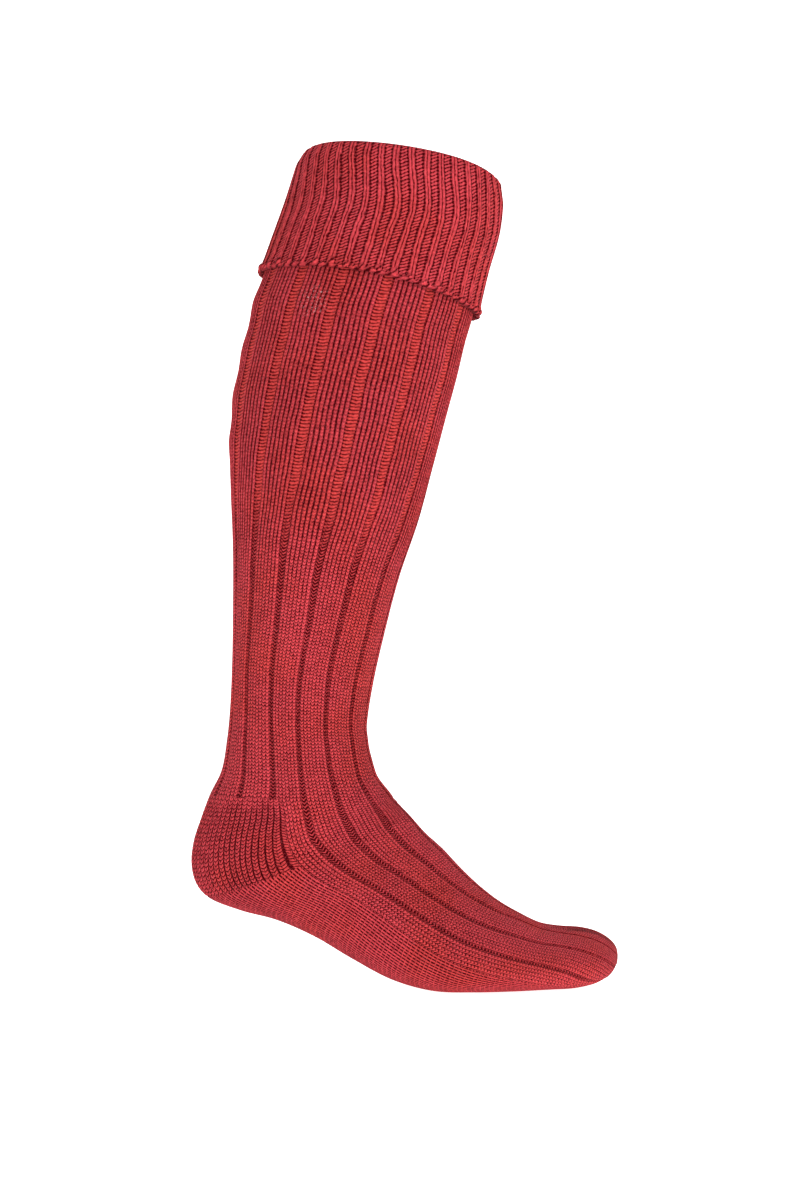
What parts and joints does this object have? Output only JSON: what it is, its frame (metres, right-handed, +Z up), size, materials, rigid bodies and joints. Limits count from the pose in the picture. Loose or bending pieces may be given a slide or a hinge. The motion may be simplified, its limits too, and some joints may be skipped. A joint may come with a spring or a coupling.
{
  "type": "sock",
  "caption": "Red ribbed wool knee sock with a turned-over cuff, cushioned heel and sole and closed toe, shaped as worn on a raised-heel foot",
  "frame": {"origin": "centre of the mouth, where the leg goes in", "axes": "+Z up the leg, +X towards the toe, -Y the wearer's outer side"},
  "size_m": [0.2561, 0.1192, 0.4957],
  "materials": {
    "yarn": "soft matte wool-blend knit"
  },
  "bodies": {
    "root": {"cuff": "yarn", "bound_edge": "yarn", "leg": "yarn", "instep": "yarn", "heel": "yarn", "sole": "yarn", "toe": "yarn"}
  },
  "joints": []
}
